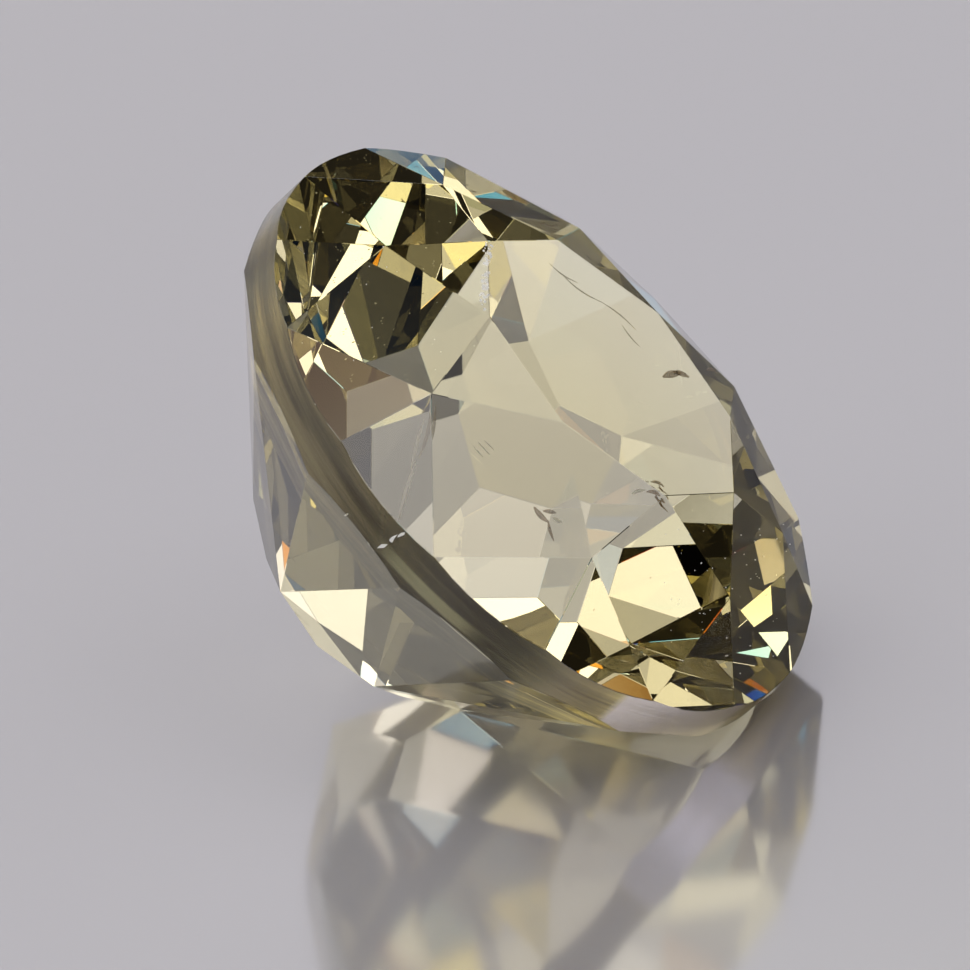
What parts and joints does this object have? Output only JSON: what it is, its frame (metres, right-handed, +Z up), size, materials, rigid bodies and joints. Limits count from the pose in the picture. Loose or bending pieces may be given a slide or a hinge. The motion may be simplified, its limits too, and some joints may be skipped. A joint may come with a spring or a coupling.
{
  "type": "faceted diaspore gem",
  "caption": "Clear pale olive diaspore cut as an oval brilliant, one faceted stone lying on a pavilion facet, a gem to set in a mount or to show on a surface.",
  "frame": {"origin": "the ground under the middle of the gem's box, with the gem lying on its resting facet on Z = 0", "axes": "+Z up; +X the way the table leans and faces; +Y along the girdle's width. The gem is the same on both sides of the XZ plane"},
  "size_m": [0.007, 0.0082, 0.0072],
  "materials": {
    "diaspore": "polished"
  },
  "bodies": {
    "root": {"diaspore_gem": "diaspore"}
  },
  "joints": []
}
